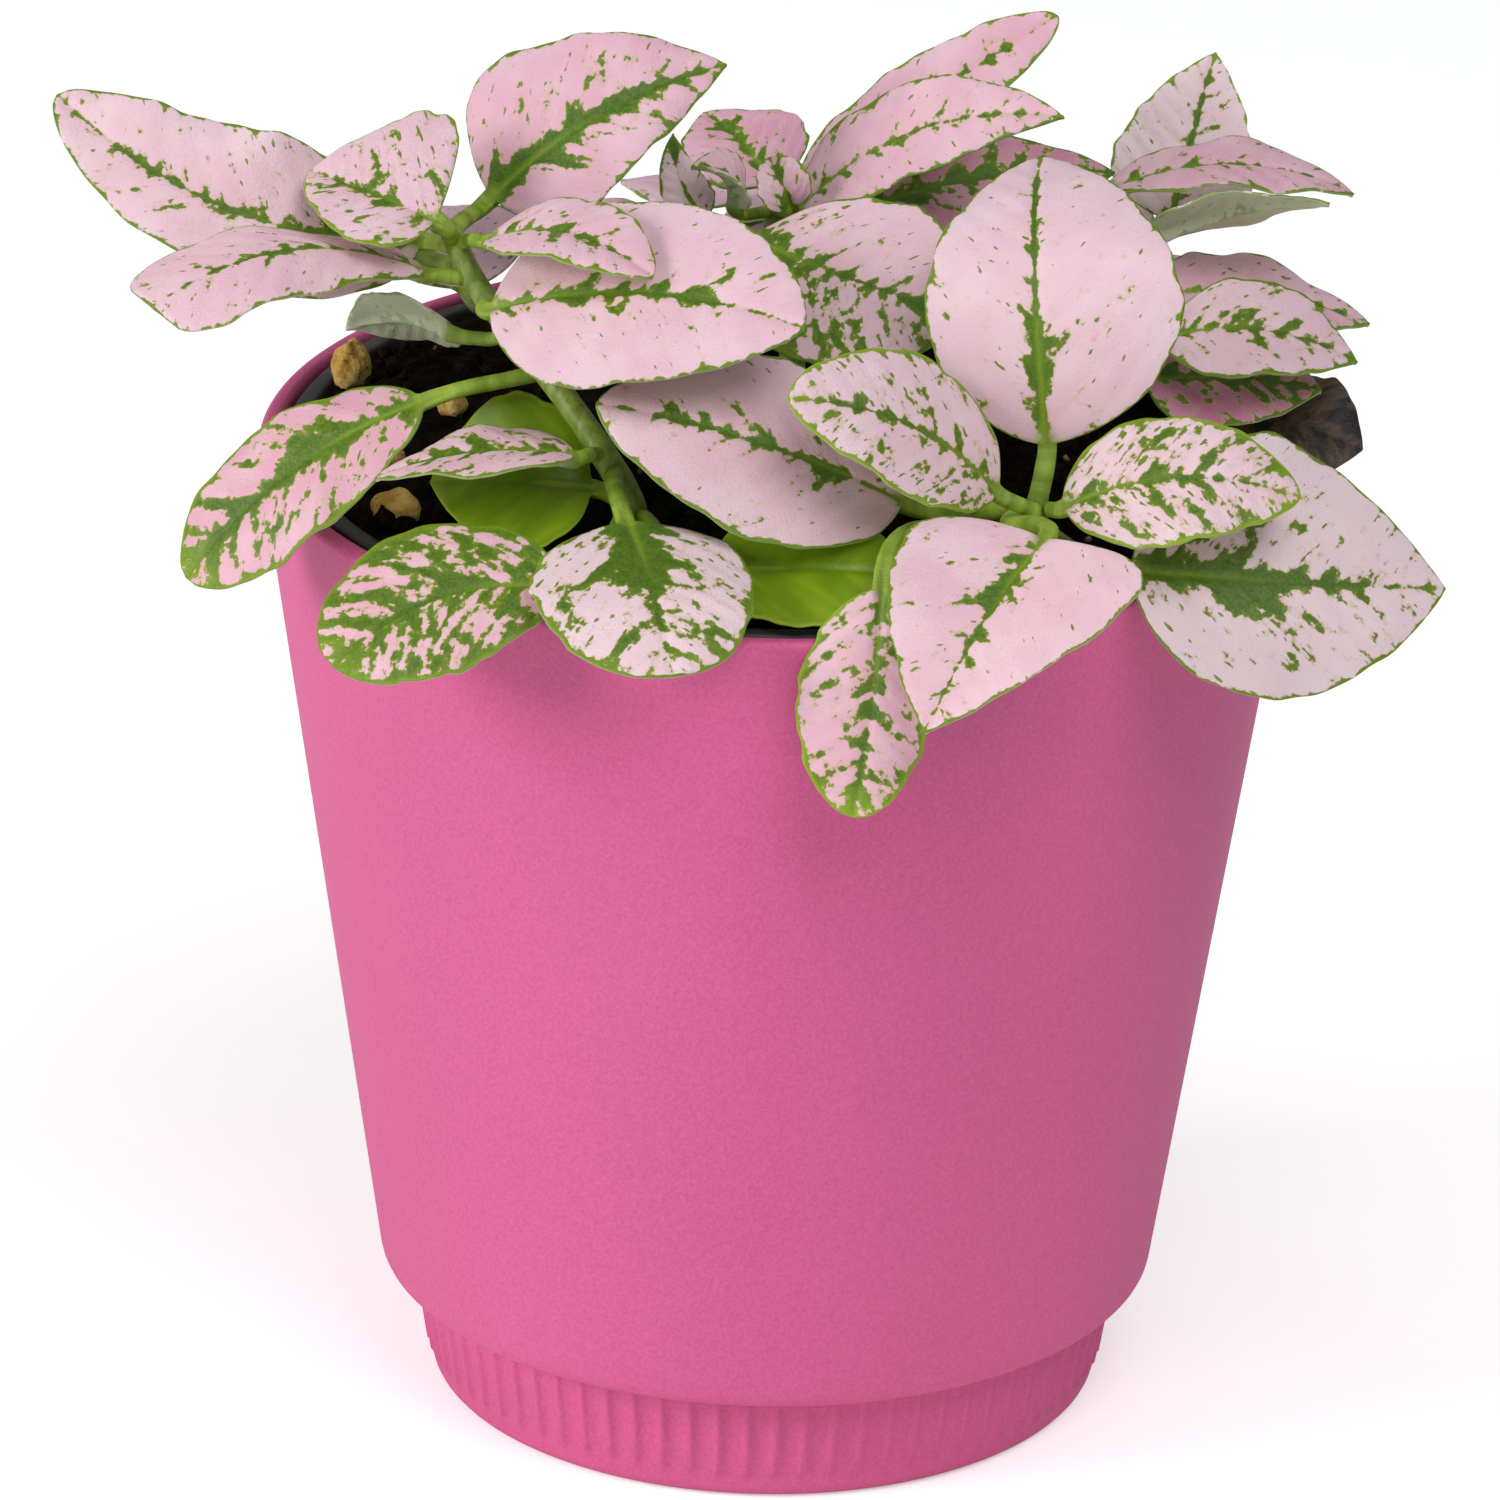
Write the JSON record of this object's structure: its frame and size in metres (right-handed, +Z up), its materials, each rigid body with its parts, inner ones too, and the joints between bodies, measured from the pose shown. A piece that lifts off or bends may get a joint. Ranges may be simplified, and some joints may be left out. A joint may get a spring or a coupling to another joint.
{
  "type": "potted polka dot plant",
  "caption": "Polka dot plant with speckled pink and green leaves on short shoots, growing in peat in a dark liner inside a tapered pink cover pot with a ribbed foot.",
  "frame": {"origin": "centre of the cover pot's flat base, where it stands", "axes": "+Z up; +X to the right and -Y towards the viewer, as the picture shows the plant"},
  "size_m": [0.1445, 0.1319, 0.1512],
  "materials": {
    "pink_pot": "matte, fine grained",
    "dark_liner": "matt black-grey",
    "peat": "crumbly, moist, dull",
    "tan_grit": "dull, rough",
    "green_stem": "fleshy, slightly hairy",
    "pink_leaf": "soft sheen, quilted between the veins, pink with green flecks",
    "green_seed_leaf": "smooth, slightly glossy"
  },
  "bodies": {
    "root": {"cover_pot": "pink_pot", "nursery_pot": "dark_liner", "soil": "peat", "grain_1": "tan_grit", "grain_2": "tan_grit", "grain_3": "tan_grit", "grain_4": "tan_grit", "grain_5": "tan_grit", "stem_a": "green_stem", "stem_b": "green_stem", "stem_c": "green_stem", "stem_d": "green_stem", "stem_f": "green_stem", "leaf_a1": "pink_leaf", "leaf_a2": "pink_leaf", "leaf_a3": "pink_leaf", "leaf_a4": "pink_leaf", "leaf_a5": "pink_leaf", "leaf_a6": "pink_leaf", "leaf_a7": "pink_leaf", "leaf_a8": "pink_leaf", "leaf_e1": "pink_leaf", "leaf_e2": "pink_leaf", "leaf_e3": "pink_leaf", "leaf_b1": "pink_leaf", "leaf_b2": "pink_leaf", "leaf_b3": "pink_leaf", "leaf_b4": "pink_leaf", "leaf_b5": "pink_leaf", "leaf_b6": "pink_leaf", "leaf_b7": "pink_leaf", "leaf_b8": "pink_leaf", "leaf_c1": "pink_leaf", "leaf_c2": "pink_leaf", "leaf_c3": "pink_leaf", "leaf_c4": "pink_leaf", "leaf_c5": "pink_leaf", "leaf_c6": "pink_leaf", "leaf_c7": "pink_leaf", "leaf_d1": "pink_leaf", "leaf_d2": "pink_leaf", "leaf_d3": "pink_leaf", "leaf_d4": "pink_leaf", "leaf_d5": "pink_leaf", "leaf_d6": "pink_leaf", "leaf_d7": "pink_leaf", "leaf_f1": "pink_leaf", "leaf_f2": "pink_leaf", "leaf_f3": "pink_leaf", "leaf_f4": "pink_leaf", "leaf_f5": "pink_leaf", "leaf_f6": "pink_leaf", "leaf_f7": "pink_leaf", "leaf_f8": "pink_leaf", "leaf_f9": "pink_leaf", "leaf_f10": "pink_leaf", "seed_leaf_1": "green_seed_leaf", "seed_leaf_2": "green_seed_leaf"}
  },
  "joints": []
}
